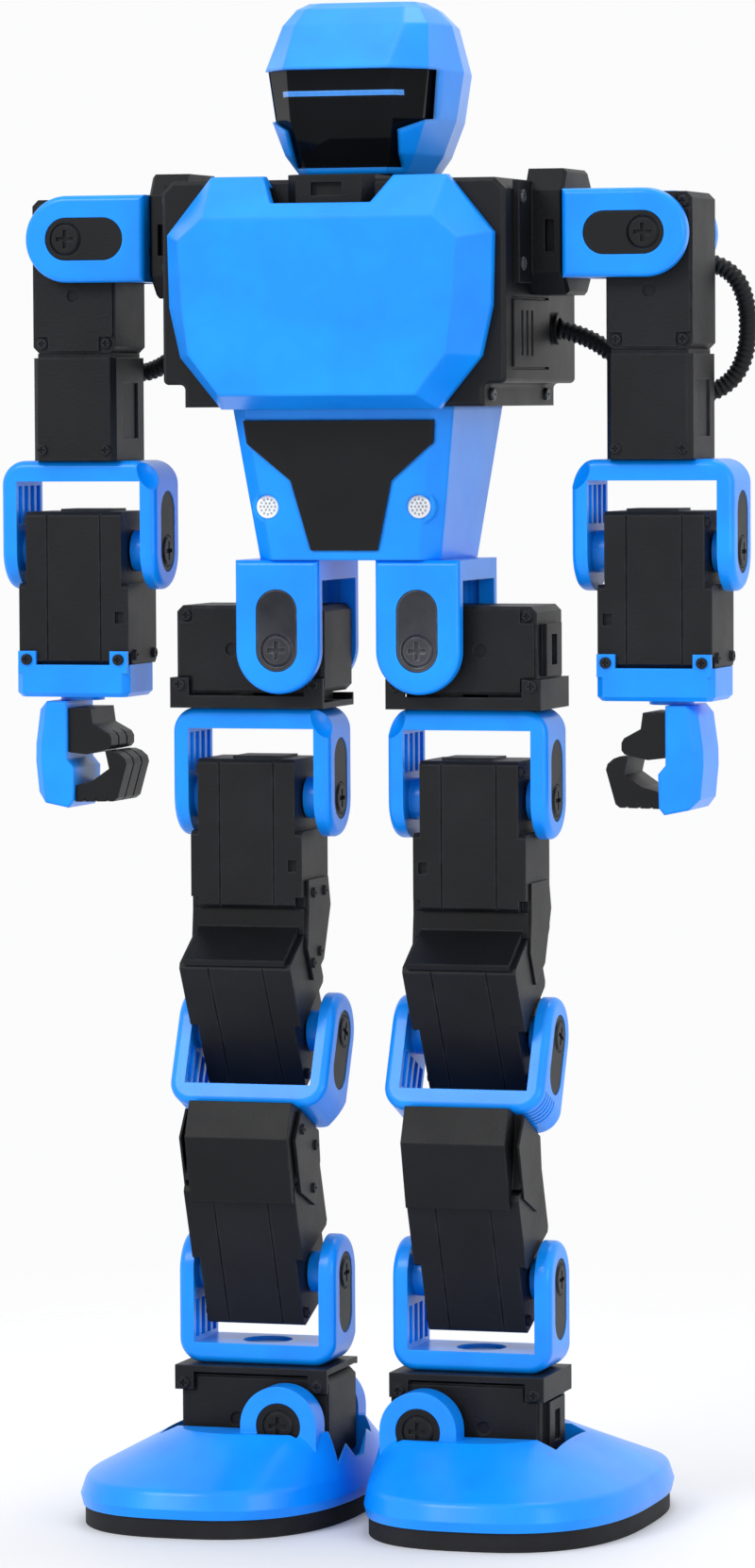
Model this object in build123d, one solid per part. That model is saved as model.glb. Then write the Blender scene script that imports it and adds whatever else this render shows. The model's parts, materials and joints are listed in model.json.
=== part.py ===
from build123d import *
import os
from math import cos, sin, radians, pi, tan, copysign

os.makedirs("parts", exist_ok=True)

# Millimetres. X is the robot's left, -Y its front, Z up, origin on the floor between the soles.
# Every left-side piece is drawn at +X and mirrored for the right side.

# Pivots (left side) ------------------------------------------------------------------------------
LEG_X = 25.2                      # centre plane of one leg
ARM_X = 67.0                      # centre plane of one arm
ANKLE_ROLL = (16.3, -4.2, 22.3)
ANKLE = (LEG_X, -3.2, 54.7)
KNEE = (LEG_X, -3.0, 109.3)
HIP_PITCH = (LEG_X, -4.5, 162.2)
HIP_ROLL = (16.3, -4.2, 195.9)
ELBOW = (ARM_X, -1.0, 217.6)
SHOULDER_ROLL = (ARM_X, -1.0, 287.9)
SHOULDER_PITCH = (-1.8, 288.0)    # (y, z) of an axis along X
NECK_Y = -2.0
KNEE_SERVO_LEAN = 30.0            # the knee servo leans forward at its top
KNEE_BRACKET_LEAN = -24.0         # the knee bracket leans back at its top
SHIN_LEAN = 21.0                  # the shin leans forward at its top

# Fits --------------------------------------------------------------------------------------------
FACE_GAP = 0.3                    # between faces that turn past each other
SPINDLE_CLEARANCE = 0.05          # radial, spindle in its bore
INSET_CLEARANCE = 0.1             # around an inset plate

# Servo case --------------------------------------------------------------------------------------
SERVO_W = 19.6                    # across the hinge axis
SERVO_NEAR = 9.0                  # axis to the near end
SERVO_FAR = 25.6                  # axis to the far end
PITCH_SERVO_X = (-12.2, 13.9)     # along the axis, main block of a pitch servo
PITCH_HORN_X = (-10.6, 12.2)      # along the axis, beside its horns
ROLL_SERVO_T = 21.6               # along the axis, a roll servo
HORN_STEP = -7.2                  # where the case widens below the horns
SPINDLE_R = 2.5
SPINDLE_REACH = 1.5               # spindle inside its bore

# U bracket ---------------------------------------------------------------------------------------
BRACKET_HALF = 18.5
WINDOW_HALF = 14.75
BRACKET_D = 17.5
BRACKET_BAR_IN = 15.8             # axis to the bar's inner face
BRACKET_BAR_OUT = 20.5            # axis to the bar's outer face
BRACKET_CORNER = 5.5
BRACKET_EDGE = 1.7

# Yoke --------------------------------------------------------------------------------------------
YOKE_W = 19.5
YOKE_ARM = 3.2
YOKE_BASE = 4.6
YOKE_EDGE = 1.3

# Insets and screws -------------------------------------------------------------------------------
INSET_W = 9.6
INSET_RUN = 8.8                   # between the centres of the inset's two round ends
INSET_DEPTH = 1.0
SCREW_R = 3.6
SCREW_H = 1.7
SMALL_SCREW_R = 1.25
SMALL_SCREW_H = 0.7
BOSS_R = 4.7

# Torso -------------------------------------------------------------------------------------------
HOUSING_HALF = 39.5
HOUSING_FRONT = -30.5
HOUSING_REAR = 27.0
HOUSING_TOP = 300.0
HOUSING_FLOOR = 250.0
CHEST_FACE = -42.5
BACK_FACE = 38.5
SHELL = 2.0
WAIST_BOTTOM = 216.0
SHOULDER_BLOCK_END = 48.2

# Head --------------------------------------------------------------------------------------------
JAW_Z = 301.4
NECK_POST_R = 6.0
VISOR_RECESS = 0.94               # the visor's size as a part of the helmet's

# Feet --------------------------------------------------------------------------------------------
FOOT_CENTRE_X = 33.3
FOOT_HALF = (31.3, 48.0)
SOLE_T = 4.3
LUG_R = 8.9
POCKET_X = (4.3, 46.4)
POCKET_Y = (-17.5, 8.2)
POCKET_FLOOR = 4.9

# Cables ------------------------------------------------------------------------------------------
SLEEVE_R = 2.1


# Helpers -----------------------------------------------------------------------------------------
def block(x, y, z):
    """A box between three (low, high) pairs."""
    centre = Pos((x[0] + x[1]) / 2, (y[0] + y[1]) / 2, (z[0] + z[1]) / 2)
    return centre * Box(x[1] - x[0], y[1] - y[0], z[1] - z[0])


def slab_x(points, x0, x1):
    """A polygon of (y, z) points, from x0 to x1."""
    face = make_face(Polyline(*points, close=True))
    return extrude(Plane.YZ.offset(x0) * face, amount=x1 - x0)


def slab_y(points, y0, y1):
    """A polygon of (x, z) points, from y0 to y1."""
    face = make_face(Polyline(*points, close=True))
    return extrude(Plane.XZ.offset(-y1) * face, amount=y1 - y0)


def slab_z(points, z0, z1):
    """A polygon of (x, y) points, from z0 to z1."""
    face = make_face(Polyline(*points, close=True))
    return extrude(Plane.XY.offset(z0) * face, amount=z1 - z0)


def rod_x(y, z, r, x0, x1):
    return Pos((x0 + x1) / 2, y, z) * Rot(0, 90, 0) * Cylinder(r, x1 - x0)


def rod_y(x, z, r, y0, y1):
    return Pos(x, (y0 + y1) / 2, z) * Rot(90, 0, 0) * Cylinder(r, y1 - y0)


def rod_z(x, y, r, z0, z1):
    return Pos(x, y, (z0 + z1) / 2) * Cylinder(r, z1 - z0)


def both(points):
    """The outline whose right half is given from top to bottom, mirrored in x."""
    return points + [(-x, z) for x, z in reversed(points)]


def stadium_x(y, z0, z1, width, x0, x1):
    """An upright stadium from x0 to x1: its round ends are centred at z0 and z1."""
    shape = block((x0, x1), (y - width / 2, y + width / 2), (z0, z1))
    return shape + rod_x(y, z0, width / 2, x0, x1) + rod_x(y, z1, width / 2, x0, x1)


def stadium_y(x, z0, z1, width, y0, y1):
    """An upright stadium from y0 to y1: its round ends are centred at z0 and z1."""
    shape = block((x - width / 2, x + width / 2), (y0, y1), (z0, z1))
    return shape + rod_y(x, z0, width / 2, y0, y1) + rod_y(x, z1, width / 2, y0, y1)


def screw(r, h):
    """A pan-head screw's head, seat at z = 0, with a cross recess in its top."""
    head = Cylinder(r, h, align=(Align.CENTER, Align.CENTER, Align.MIN))
    head = chamfer(head.edges().sort_by(Axis.Z)[-1], r * 0.16)
    arm, width = r * 1.15, r * 0.26
    slot = block((-arm / 2, arm / 2), (-width / 2, width / 2), (h * 0.45, h + 1))
    return head - slot - Rot(0, 0, 90) * slot


def solids_of(items):
    """Every solid in a list of shapes, in one flat list."""
    found = []
    for item in items:
        found += item.solids()
    return found


WRITTEN = {}


def write(name, *items):
    solids = solids_of(items)
    shape = Compound(children=solids) if len(solids) > 1 else solids[0]
    export_step(shape, f"parts/{name}.step")
    WRITTEN[name] = len(solids)


def write_pair(name, *items):
    """Writes the left-side pieces, and their mirror images for the right side."""
    solids = solids_of(items)
    write(f"{name}_L", *solids)
    write(f"{name}_R", *[mirror(s, about=Plane.YZ) for s in solids])


# Modules: each is drawn with its hinge axis through the origin ------------------------------------
def small_screws_x(places, x, side):
    """Small screw heads that stand on a face square to X; side is +1 or -1."""
    turn = Rot(0, 90 * side, 0)
    return [Pos(x, y, z) * turn * screw(SMALL_SCREW_R, SMALL_SCREW_H) for y, z in places]


def case_plate(w, near, far):
    """Outline of a servo's cover plate, with its corners cut back round the screws."""
    h, c = w / 2 - 0.5, 3.2
    top, low = near - 0.5, -far + 0.5
    return [(-h, top - c), (-h + c, top - c), (-h + c, top), (h - c, top), (h - c, top - c), (h, top - c),
            (h, low + c), (h - c, low + c), (h - c, low), (-h + c, low), (-h + c, low + c), (-h, low + c)]


def servo_case(x_main, x_horn, far=SERVO_FAR, w=SERVO_W, low_screws=True):
    """A servo along -Z with its spindles on X: [case, screws...]."""
    half = w / 2
    case = block(x_main, (-half, half), (-far, HORN_STEP))
    case += block(x_horn, (-half, half), (HORN_STEP, SERVO_NEAR))
    case = chamfer(case.edges().filter_by(Axis.X).filter_by_position(Axis.Y, -half - 0.1, -half + 0.1)
                   + case.edges().filter_by(Axis.X).filter_by_position(Axis.Y, half - 0.1, half + 0.1), 0.9)
    case += block((x_horn[0] + 4, x_horn[1] - 7), (-5.5, 5.5), (SERVO_NEAR, SERVO_NEAR + 0.6))
    for x in (x_main[0] + 6.6, x_main[1] - 6.8):
        case -= block((x - 0.15, x + 0.15), (-half - 1, -half + 0.3), (-far - 1, SERVO_NEAR + 1))
        case -= block((x - 0.15, x + 0.15), (half - 0.3, half + 1), (-far - 1, SERVO_NEAR + 1))
    case -= block((x_main[0] + 1.2, x_main[0] + 3.2), (-half - 1, -half + 1.0), (-16.2, -13.6))
    case -= block((x_main[0] - 1, x_main[0] + 1.6), (-half - 1, -half + 2.6), (-far - 1, -far + 2.6))
    case -= block((x_main[1] - 1.6, x_main[1] + 1), (-half - 1, -half + 2.6), (-far - 1, -far + 2.6))
    for x in x_horn:
        reach = copysign(FACE_GAP + SPINDLE_REACH, x)
        case += rod_x(0, 0, SPINDLE_R, min(x, x + reach), max(x, x + reach))
    low = [(-half + 4.2, -far + 2.2), (half - 2.2, -far + 2.2)]
    high = [(half - 2.4, SERVO_NEAR - 2.4), (-half + 2.4, SERVO_NEAR - 2.4)]
    screws = []
    if low_screws:
        screws += small_screws_x(low, x_main[1], 1) + small_screws_x(low, x_main[0], -1)
    screws += small_screws_x(high, x_horn[1], 1) + small_screws_x(high[:1], x_horn[0], -1)
    return [case] + screws


def roll_servo(corners, bump=True):
    """A servo along -Z with its spindles on X and two cover plates; corners gives its screws' (y, z) signs."""
    t, half = ROLL_SERVO_T / 2, SERVO_W / 2
    inner = t - 0.6
    case = block((-inner, inner), (-half, half), (-SERVO_FAR, SERVO_NEAR))
    case = chamfer(case.edges().filter_by(Axis.X), 1.4)
    if bump:
        case += block((-inner + 4, inner - 4), (-half + 4, half - 4), (-SERVO_FAR - 1.2, -SERVO_FAR))
        case -= block((-2.2, 2.2), (-3.4, 3.4), (-SERVO_FAR - 2, -SERVO_FAR - 0.4))
    pieces, outline = [], case_plate(SERVO_W, SERVO_NEAR, SERVO_FAR)
    for side in (-1, 1):
        low, high = sorted((side * inner, side * t))
        plate = slab_x(outline, low, high)
        plate -= rod_x(0, -12.6, 1.5, low - 1, high + 1)
        plate -= rod_x(0, 0, SPINDLE_R + 0.2, low - 1, high + 1)
        reach = sorted((side * inner, side * (t + FACE_GAP + SPINDLE_REACH)))
        case += rod_x(0, 0, SPINDLE_R, reach[0], reach[1])
        places = [(y * (half - 2.2), SERVO_NEAR - 2.2 if z > 0 else 2.2 - SERVO_FAR) for y, z in corners]
        pieces += [plate] + small_screws_x(places, side * inner, side)
    return [case] + pieces


def u_bracket(boss_in, boss_out):
    """A blue U bracket, open downwards; boss_in and boss_out are the faces that its bosses reach to."""
    half, deep = BRACKET_HALF, BRACKET_D / 2
    front = block((-half, half), (-deep, deep), (-deep, BRACKET_BAR_OUT))
    front = fillet(front.edges().filter_by(Axis.Y).sort_by(Axis.Z)[-2:], BRACKET_CORNER)
    side = stadium_x(0, 0, BRACKET_BAR_OUT + deep, BRACKET_D, -half, half)
    body = front & side
    outer = [e for e in body.edges()
             if abs(abs(e.center().Y) - deep) < 0.01 or abs(e.center().Z + deep) < 1.6]
    outer = [e for e in outer if abs(e.center().X) > 0.01 or e.center().Z > BRACKET_BAR_OUT - 0.1]
    body = fillet(outer, BRACKET_EDGE)
    body -= block((-WINDOW_HALF, WINDOW_HALF), (-deep - 1, deep + 1), (-deep - 1, BRACKET_BAR_IN))
    body += rod_x(0, 0, BOSS_R, -WINDOW_HALF, boss_in - FACE_GAP)
    body += rod_x(0, 0, BOSS_R, boss_out + FACE_GAP, WINDOW_HALF)
    bore = SPINDLE_R + SPINDLE_CLEARANCE
    body -= rod_x(0, 0, bore, boss_in - FACE_GAP - SPINDLE_REACH - 0.2, boss_in + 1)
    body -= rod_x(0, 0, bore, boss_out - 1, boss_out + FACE_GAP + SPINDLE_REACH + 0.2)
    for side in (-1, 1):
        face = sorted((side * (half - INSET_DEPTH), side * (half + 1)))
        body -= stadium_x(0, 0, INSET_RUN, INSET_W, face[0], face[1])
        pocket = sorted((side * WINDOW_HALF, side * (WINDOW_HALF + 1.3)))
        for y in (-6.0, -2.0, 2.0, 6.0):
            body -= block(pocket, (y - 1.3, y + 1.3), (BOSS_R + 1.5, BRACKET_BAR_IN - 1.0))
    body -= rod_z(0, 0, 5.6, BRACKET_BAR_IN - 1, BRACKET_BAR_IN + 0.8)
    scoop = Pos(-half - 1.2, -deep - 2.6, BRACKET_BAR_OUT - 1.5) * Sphere(6.2)
    return body - scoop


def corner_ribs(bracket, side):
    """Cuts the curved ribs round one outer corner of a bracket."""
    centre_x, centre_z = BRACKET_HALF - BRACKET_CORNER, BRACKET_BAR_OUT - BRACKET_CORNER
    for k in range(5):
        y = -1.0 + 1.7 * k
        x = sorted((side * centre_x, side * (BRACKET_HALF + 1)))
        groove = block(x, (y - 0.35, y + 0.35), (centre_z, BRACKET_BAR_OUT + 1))
        groove -= rod_y(side * centre_x, centre_z, BRACKET_CORNER - 0.8, y - 1, y + 1)
        bracket -= groove
    return bracket


def bracket_caps():
    """The inset plates and pivot screws on both arms of a bracket."""
    pieces = []
    for side in (-1, 1):
        floor = side * (BRACKET_HALF - INSET_DEPTH)
        face = sorted((floor, side * (BRACKET_HALF - 0.15)))
        plate = stadium_x(0, 0, INSET_RUN, INSET_W - 2 * INSET_CLEARANCE, face[0], face[1])
        plate -= rod_x(0, 0, SCREW_R + INSET_CLEARANCE, face[0] - 1, face[1] + 1)
        pieces += [plate, Pos(floor, 0, 0) * Rot(0, 90 * side, 0) * screw(SCREW_R, INSET_DEPTH + 0.25)]
    return pieces


def yoke(front, rear, boss_front, boss_rear, base):
    """A yoke round a front-to-back axis, open downwards, its base's outer face at z = base."""
    half = YOKE_W / 2
    body = stadium_y(0, 0, base - half, YOKE_W, front, rear)
    body += block((-half, half), (front, rear), (base - half - 1, base))
    body &= block((-half, half), (front, rear), (-half, base))
    long_edges = [e for e in body.edges() if abs(e.center().Y - front) < 0.01 or abs(e.center().Y - rear) < 0.01]
    body = fillet(long_edges, YOKE_EDGE)
    inner = (front + YOKE_ARM, rear - YOKE_ARM)
    body -= block((-half - 1, half + 1), inner, (-half - 1, base - YOKE_BASE))
    bore = SPINDLE_R + SPINDLE_CLEARANCE
    if boss_front - FACE_GAP - inner[0] > 0.05:
        body += rod_y(0, 0, BOSS_R, inner[0], boss_front - FACE_GAP)
    if inner[1] - boss_rear - FACE_GAP > 0.05:
        body += rod_y(0, 0, BOSS_R, boss_rear + FACE_GAP, inner[1])
    body -= rod_y(0, 0, bore, boss_front - FACE_GAP - SPINDLE_REACH - 0.2, boss_front + 1)
    body -= rod_y(0, 0, bore, boss_rear - 1, boss_rear + FACE_GAP + SPINDLE_REACH + 0.2)
    for low, high in ((front - 1, front + INSET_DEPTH), (rear - INSET_DEPTH, rear + 1)):
        body -= stadium_y(0, 0, INSET_RUN, INSET_W, low, high)
    for x in (-4.5, 0.0, 4.5):
        body -= block((x - 1.6, x + 1.6), (inner[1] - 1, inner[1] + 1.2), (BOSS_R + 1.8, base - YOKE_BASE))
    return body


def yoke_caps(front, rear):
    """The inset plates and pivot screws on both arms of a yoke."""
    pieces = []
    for floor, side in ((front + INSET_DEPTH, -1), (rear - INSET_DEPTH, 1)):
        low, high = sorted((floor, floor + side * (INSET_DEPTH - 0.15)))
        plate = stadium_y(0, 0, INSET_RUN, INSET_W - 2 * INSET_CLEARANCE, low, high)
        plate -= rod_y(0, 0, SCREW_R + INSET_CLEARANCE, low - 1, high + 1)
        pieces += [plate, Pos(0, floor, 0) * Rot(-90 * side, 0, 0) * screw(SCREW_R, INSET_DEPTH + 0.25)]
    return pieces


def placed(items, place):
    return [place * item for item in items]


def to_front_back(pieces, turn):
    """Turns pieces drawn with their axis on X so that the axis lies on Y, then turns them about Y."""
    return [Rot(0, turn, 0) * (Rot(0, 0, 90) * piece) for piece in pieces]


# Torso -------------------------------------------------------------------------------------------
HOUSING = [(37.0, HOUSING_TOP), (39.5, 297.5), (39.5, 255.0), (34.5, 255.0), (34.5, HOUSING_FLOOR)]
CHEST_EDGE = [(27.0, 300.7), (37.4, 288.0), (37.0, 272.0), (34.5, 261.0), (25.0, 249.5)]
CHEST_CREASE = [(26.0, 291.5), (32.0, 286.5), (31.0, 272.0), (29.6, 261.5), (22.5, 252.5)]
CHEST_EDGE_IN = [(25.5, 298.2), (35.2, 287.3), (34.8, 272.3), (32.4, 261.8), (24.0, 251.7)]
CHEST_CREASE_IN = [(24.8, 289.6), (30.2, 285.6), (29.2, 272.0), (27.9, 262.2), (21.6, 254.4)]
BACK_EDGE = [(29.0, 298.0), (37.7, 287.0), (37.7, 272.0), (32.0, 250.5)]
BACK_CREASE = [(26.0, 292.5), (33.2, 284.0), (33.2, 272.5), (28.5, 255.0)]
BELLY = [(22.0, 247.0), (21.5, 242.0), (11.6, 233.7), (7.7, 218.2)]
WAIST_TOP_HALF, WAIST_BOTTOM_HALF = 25.6, 21.0
WAIST_FRONT_TOP, WAIST_FRONT_BOTTOM = -27.0, -22.0
WAIST_REAR_TOP, WAIST_REAR_BOTTOM = 20.0, 15.0
GRILLE = (17.5, 227.9, 2.6)       # x, z, radius


def outline_y(points, y):
    """A closed outline of (x, z) points at the depth y."""
    return Plane.XZ.offset(-y) * make_face(Polyline(*points, close=True))


def ruled(faces):
    """A faceted solid through a row of faces that have the same number of corners."""
    return loft(faces, ruled=True)


def shell_front(edge, crease, y_edge, y_face):
    return ruled([outline_y(both(edge), y_edge), outline_y(both(crease), y_face)])


def chest_cover():
    cover = slab_y(both(CHEST_EDGE), -33.0, HOUSING_FRONT)
    cover += shell_front(CHEST_EDGE, CHEST_CREASE, -33.0, CHEST_FACE)
    cover -= slab_y(both(CHEST_EDGE_IN), -33.2, HOUSING_FRONT + 1)
    cover -= shell_front(CHEST_EDGE_IN, CHEST_CREASE_IN, -33.0, CHEST_FACE + SHELL)
    return cover - slab_y(both([(15.4, 301.5), (11.5, 294.6)]), -60, 0)


def chest_housing():
    body = slab_y(both(HOUSING), HOUSING_FRONT, HOUSING_REAR)
    body = fillet(body.edges().filter_by(Axis.Y).filter_by_position(Axis.Z, 254.9, 255.1), 1.2)
    body = chamfer(body.faces().sort_by(Axis.Y)[0].outer_wire().edges(), 0.8)
    inner = [(x - SHELL, z + (SHELL if z < 260 else -SHELL)) for x, z in HOUSING]
    body -= slab_y(both(inner), HOUSING_FRONT + SHELL, HOUSING_REAR - SHELL)
    collar = block((-10.0, 10.0), (-33.0, 10.0), (294.6, 301.0))
    collar = chamfer(collar.edges().filter_by(Axis.Z), 2.5)
    collar -= block((-20, 20), (HOUSING_FRONT + 1, 20), (290, HOUSING_TOP - 1))
    body += collar
    body -= block((-4.0, 3.0), (-35, HOUSING_FRONT - 1.0), (296.4, 299.2))
    body -= rod_z(0, NECK_Y, NECK_POST_R + SPINDLE_CLEARANCE, 290, 305)
    for side in (-1, 1):
        wall = sorted((side * 30, side * 45))
        body -= rod_x(SHOULDER_PITCH[0], SHOULDER_PITCH[1], SPINDLE_R + 0.3, wall[0], wall[1])
        panel = sorted((side * 39.0, side * 41))
        body -= block(panel, (-25.0, 5.0), (258.0, 274.0))
        panel = sorted((side * 39.0, side * 39.9))
        door = block(panel, (-24.4, 4.4), (258.6, 273.4))
        for y in (-18.0, -14.0, -10.0):
            door -= block(sorted((side * 39.4, side * 41)), (y - 0.9, y + 0.9), (261.0, 271.0))
        body += door
        port = sorted((side * 39.4, side * 40.6))
        body += rod_x(10.5, 267.2, 3.6, port[0], port[1])
        body -= rod_x(10.5, 267.2, SLEEVE_R + 0.35, sorted((side * 39.8, side * 42))[0],
                      sorted((side * 39.8, side * 42))[1])
    return body


def back_cover():
    cover = slab_y(both(BACK_EDGE), HOUSING_REAR, HOUSING_REAR + 3.5)
    cover += shell_front(BACK_EDGE, BACK_CREASE, HOUSING_REAR + 3.5, BACK_FACE)
    shrink = [(x - SHELL, z + (SHELL if z < 260 else -SHELL)) for x, z in BACK_EDGE]
    shrink_face = [(x - SHELL, z + (SHELL if z < 260 else -SHELL)) for x, z in BACK_CREASE]
    cover -= slab_y(both(shrink), HOUSING_REAR - 1, HOUSING_REAR + 3.6)
    cover -= shell_front(shrink, shrink_face, HOUSING_REAR + 3.5, BACK_FACE - SHELL)
    for k in range(6):
        z = 262.0 + 3.6 * k
        cover -= block((-16.0, 16.0), (BACK_FACE - 5, BACK_FACE + 1), (z - 0.8, z + 0.8))
    return cover


def waist_ring(grow, z0, z1):
    """The waist's outline at two heights, lofted; grow moves every side outwards."""
    rings = []
    for z in (z0, z1):
        t = (z - WAIST_BOTTOM) / (HOUSING_FLOOR - WAIST_BOTTOM)
        half = WAIST_BOTTOM_HALF + t * (WAIST_TOP_HALF - WAIST_BOTTOM_HALF) + grow
        front = WAIST_FRONT_BOTTOM + t * (WAIST_FRONT_TOP - WAIST_FRONT_BOTTOM) - grow
        rear = WAIST_REAR_BOTTOM + t * (WAIST_REAR_TOP - WAIST_REAR_BOTTOM) + grow
        c = 4.0
        points = [(-half + c, front), (half - c, front), (half, front + c), (half, rear - c),
                  (half - c, rear), (-half + c, rear), (-half, rear - c), (-half, front + c)]
        rings.append(Plane.XY.offset(z) * make_face(Polyline(*points, close=True)))
    return ruled(rings)


def belly_panel():
    skin = waist_ring(0.6, WAIST_BOTTOM, HOUSING_FLOOR) - waist_ring(-0.8, WAIST_BOTTOM - 1, HOUSING_FLOOR + 1)
    return (skin & slab_y(both(BELLY), -40, -10)).solids().sort_by(Axis.Y)[0]


def waist_cover(panel):
    body = waist_ring(0, WAIST_BOTTOM, HOUSING_FLOOR) - waist_ring(-SHELL, WAIST_BOTTOM + 2.5, HOUSING_FLOOR + 1)
    x, z, r = GRILLE
    for side in (-1, 1):
        body += rod_y(side * x, z, r + 1.2, -23.0, -19.0)
        body -= rod_y(side * x, z, r, -30, -22.6)
    return body - panel


def speaker_grilles():
    x, z, r = GRILLE
    discs = []
    for side in (-1, 1):
        disc = rod_y(side * x, z, r - 0.02, -23.3, -22.6)
        for ring, count in ((0.0, 1), (0.85, 6), (1.7, 12)):
            for k in range(count):
                angle = 2 * pi * k / count
                disc -= rod_y(side * x + ring * cos(angle), z + ring * sin(angle), 0.26, -24, -22.9)
        discs.append(disc)
    return discs


def shoulder_frame():
    """The left shoulder's black pivot block with its screw flange."""
    low, high = HOUSING_HALF, SHOULDER_BLOCK_END
    outline = [(-11.0, 302.3), (7.0, 302.3), (12.0, 297.0), (12.0, 280.0), (6.5, 274.5),
               (-9.0, 274.5), (-14.0, 279.5), (-14.0, 297.5)]
    body = slab_x(outline, low, high)
    body = chamfer(body.faces().sort_by(Axis.X)[-1].outer_wire().edges(), 0.8)
    body += slab_x([(-13, 299.5), (-24.0, 299.5), (-24.0, 277.0), (-13, 277.0)], low, low + 1.5)
    for y in (-14.5, 12.5):
        body -= block((44.0, 46.0), (y - 2.6, y + 2.6), (284.0, 291.0))
    return body - rod_x(SHOULDER_PITCH[0], SHOULDER_PITCH[1], SPINDLE_R + 0.3, low - 1, high + 1)


def torso_servos():
    """The neck servo and both shoulder pitch servos, inside the housing."""
    neck = block((-10.8, 10.8), (NECK_Y - 9.8, NECK_Y + 9.8), (272.4, 298.0))
    neck = chamfer(neck.edges().filter_by(Axis.Z), 1.0)
    neck -= block((-11, 11), (NECK_Y - 11, NECK_Y - 9.5), (279.8, 280.2))
    neck += rod_z(0, NECK_Y, SPINDLE_R, 298.0, 302.8)
    y, z = SHOULDER_PITCH
    wall = HOUSING_HALF - SHELL
    left = block((13.5, wall), (y - 9.8, y + 9.8), (z - SERVO_FAR, z + 7.2))
    left = chamfer(left.edges().filter_by(Axis.X), 1.0)
    left -= block((20.0, 20.4), (y - 11, y - 9.5), (z - 30, z + 12))
    left += rod_x(y, z, SPINDLE_R, wall, SHOULDER_BLOCK_END + FACE_GAP + SPINDLE_REACH)
    return [neck, left, mirror(left, about=Plane.YZ)]


def battery_pack():
    pack = block((-32.0, 32.0), (9.0, 24.5), (HOUSING_FLOOR + SHELL, 284.0))
    pack = fillet(pack.edges().filter_by(Axis.X), 3.0)
    for x in (-16.5, 0.0, 16.5):
        pack -= block((x - 0.4, x + 0.4), (8, 9.8), (253, 285))
    return pack


def control_board():
    """The board on four posts, with its chips and connectors."""
    board = block((-27.0, 27.0), (-26.3, -24.8), (255.0, 291.0))
    for x in (-24.0, 24.0):
        for z in (258.0, 288.0):
            board += rod_y(x, z, 1.8, HOUSING_FRONT + SHELL, -26.3)
    board += block((-7.0, 7.0), (-24.8, -23.2), (268.0, 282.0))
    board += block((12.0, 20.0), (-24.8, -22.8), (262.0, 267.0))
    board += block((-20.0, -14.0), (-24.8, -22.8), (262.0, 272.0))
    for k in range(6):
        board += block((-19.0 + 7 * k, -14.0 + 7 * k), (-24.8, -19.8), (256.2, 259.6))
    return board


def hip_yoke():
    x, y, z = HIP_ROLL
    half = ROLL_SERVO_T / 2
    piece = yoke(-21.5, y + half + FACE_GAP + YOKE_ARM, y - half, y + half, WAIST_BOTTOM - z)
    return Pos(x, 0, z) * piece


def torso_fasteners():
    """Screws of the housing and the shoulder flanges, and the hip yokes' insets and pivot screws."""
    x, y, z = HIP_ROLL
    left = placed(yoke_caps(-21.5, y + ROLL_SERVO_T / 2 + FACE_GAP + YOKE_ARM), Pos(x, 0, z))
    for y_screw, z_screw in ((-22.0, 295.9), (-22.0, 281.2)):
        left.append(Pos(HOUSING_HALF + 1.5, y_screw, z_screw) * Rot(0, 90, 0) * screw(1.5, 0.8))
    for y_screw in (-24.0, 20.0):
        left.append(Pos(34.5, y_screw, 252.6) * Rot(0, 90, 0) * screw(1.4, 0.8))
    for z_screw in (259.0, 285.0):
        left.append(Pos(30.0, BACK_FACE - 0.2, z_screw) * Rot(-90, 0, 0) * screw(1.4, 0.8))
    return left[:-2] + [mirror(piece, about=Plane.YZ) for piece in left[:-2]]


# Head --------------------------------------------------------------------------------------------
# Each row: z, then the (x, y) corners of the right half from the front to the back
HELMET = [
    (JAW_Z, [(9.0, -19.0), (12.4, -14.5), (14.0, 0.0), (11.8, 13.0), (6.0, 16.0)]),
    (305.7, [(11.0, -22.0), (15.0, -16.8), (16.8, 0.0), (14.3, 15.0), (7.0, 18.5)]),
    (313.5, [(12.8, -24.8), (17.8, -17.6), (19.8, 0.0), (16.8, 17.0), (8.0, 21.0)]),
    (324.3, [(12.0, -28.0), (18.9, -18.8), (21.6, 0.0), (18.5, 17.0), (9.0, 22.0)]),
    (334.7, [(12.6, -16.5), (16.8, -12.5), (18.9, 0.0), (16.5, 14.0), (8.0, 18.0)]),
    (338.4, [(11.5, -12.0), (14.4, -9.5), (15.4, 0.0), (13.4, 11.0), (7.0, 14.0)]),
    (339.8, [(9.0, -8.5), (12.3, -6.8), (12.8, 0.0), (10.8, 8.0), (6.0, 10.5)]),
]
VISOR = [
    (300.4, [(9.6, -19.6), (13.2, -15.0), (14.8, 0.0), (12.6, 14.0), (6.4, 17.0)]),
    (313.5, [(12.6, -24.4), (17.9, -17.6), (20.0, 0.0), (17.0, 17.0), (8.0, 21.0)]),
    (325.3, [(13.0, -26.0), (19.6, -18.2), (21.8, 0.0), (18.5, 17.5), (9.0, 22.0)]),
]
WINDOW = [(19.5, 324.3), (18.3, 313.5), (12.9, 311.0), (12.0, 302.8)]


def helmet(rows, scale, z_shift_low=0.0, z_shift_high=0.0):
    """The faceted solid through the rows, each scaled about the neck's axis."""
    faces = []
    for k, (z, half) in enumerate(rows):
        right = [(x * scale, (y - NECK_Y) * scale + NECK_Y) for x, y in half]
        left = [(-x, y) for x, y in reversed(right)]
        shift = z_shift_low if k == 0 else z_shift_high if k == len(rows) - 1 else 0.0
        faces.append(Plane.XY.offset(z + shift) * make_face(Polyline(*(right + left), close=True)))
    body = ruled(faces[:2])
    for low, high in zip(faces[1:], faces[2:]):
        body += ruled([low, high])
    return body


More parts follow.
